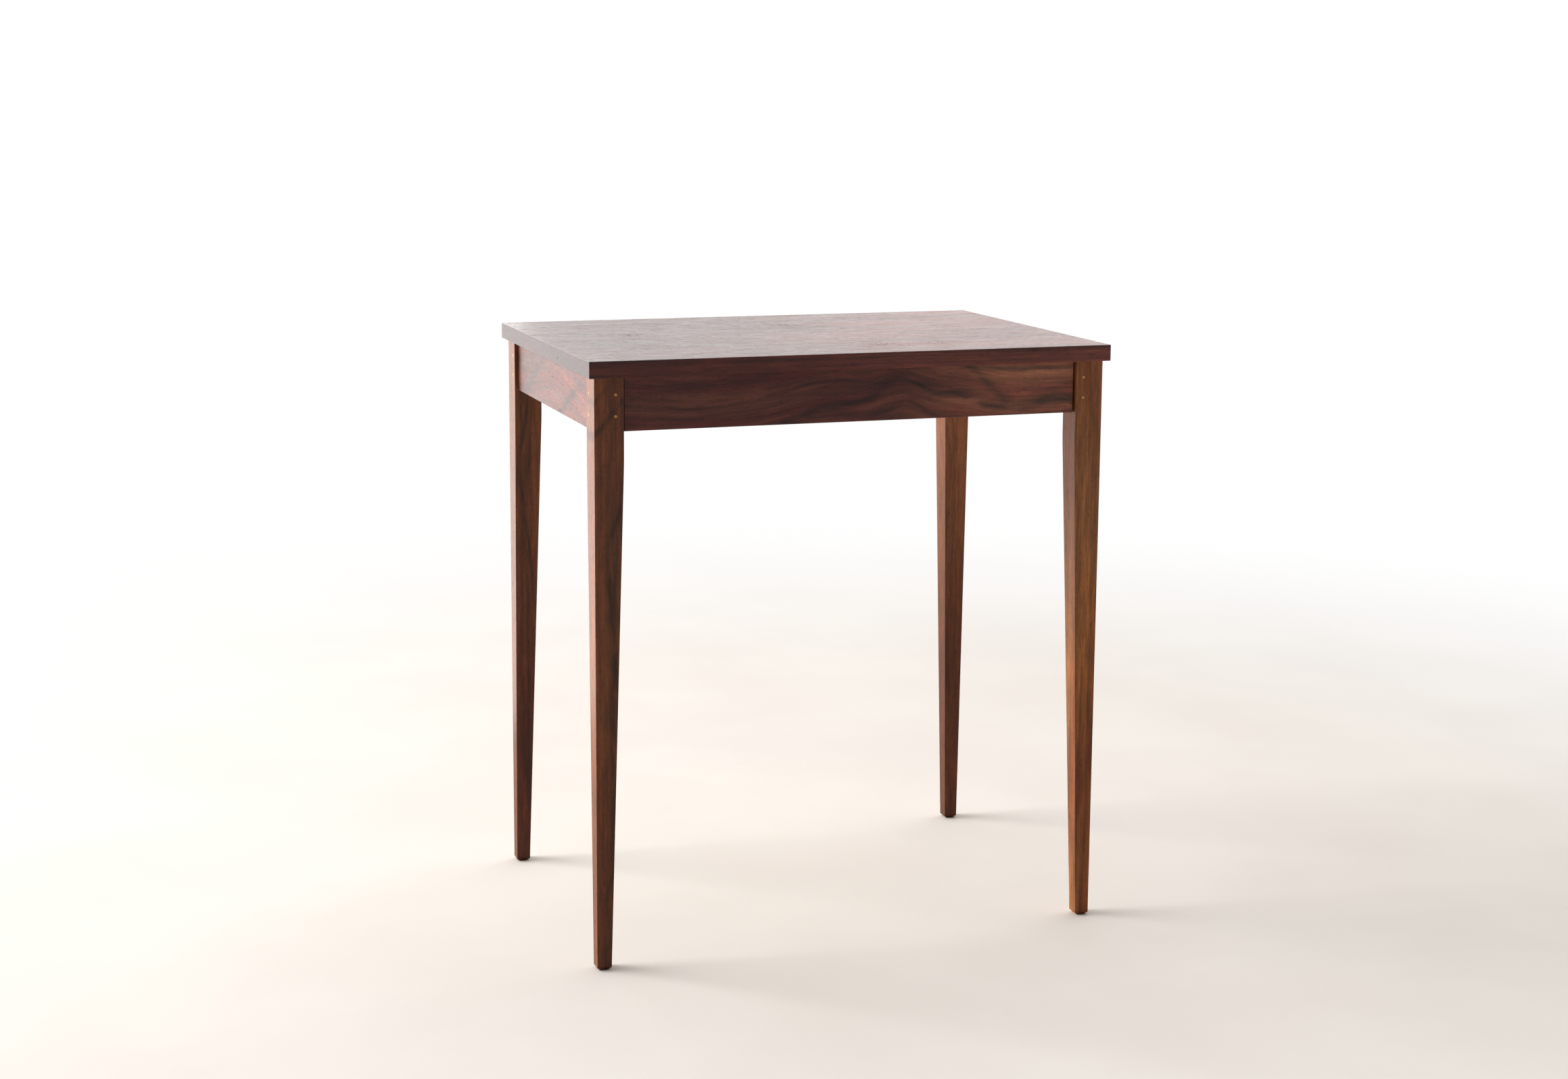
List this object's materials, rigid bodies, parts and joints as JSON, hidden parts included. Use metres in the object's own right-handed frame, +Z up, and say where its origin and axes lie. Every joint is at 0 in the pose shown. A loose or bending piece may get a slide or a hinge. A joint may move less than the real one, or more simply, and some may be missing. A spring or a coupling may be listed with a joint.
{
  "type": "side table with drawer",
  "caption": "Rectangular walnut side table with tapered legs, pinned mortise-and-tenon aprons and a shallow drawer whose front fills the front apron's place.",
  "frame": {"origin": "on the floor, under the middle of the tabletop", "axes": "+Z up, +X along the long front towards the right seen from the front, +Y towards the back; the drawer opens along -Y"},
  "size_m": [0.632, 0.44, 0.7],
  "materials": {
    "walnut_top": "satin oil on walnut, grain along the length",
    "walnut_legs": "satin oil on walnut, grain along the leg",
    "walnut_aprons": "satin oil on walnut, grain along the board",
    "walnut_drawer_front": "satin oil on figured walnut",
    "maple": "satin clear finish on maple",
    "pin_wood": "sanded flush end grain of pale wood",
    "screw_steel": "zinc plated"
  },
  "bodies": {
    "table": {"tabletop": "walnut_top", "leg_front_left": "walnut_legs", "leg_front_right": "walnut_legs", "leg_back_left": "walnut_legs", "leg_back_right": "walnut_legs", "side_apron_left": "walnut_aprons", "side_apron_right": "walnut_aprons", "back_apron": "walnut_aprons", "front_rail": "walnut_aprons", "front_and_back_pins": "pin_wood", "side_pins": "pin_wood", "tabletop_buttons": "maple", "tabletop_screws": "screw_steel", "kicker_left": "maple", "kicker_right": "maple", "drawer_runner_left": "maple", "drawer_runner_right": "maple"},
    "drawer": {"drawer_front": "walnut_drawer_front", "drawer_box_front": "maple", "drawer_side_left": "maple", "drawer_side_right": "maple", "drawer_back": "maple", "drawer_bottom": "maple", "drawer_stop": "maple", "drawer_screws": "screw_steel"}
  },
  "joints": [
    {"name": "drawer_slide", "type": "slide", "parent": "table", "child": "drawer", "axis": [0, -1, 0], "range_m": [0, 0.277]}
  ]
}
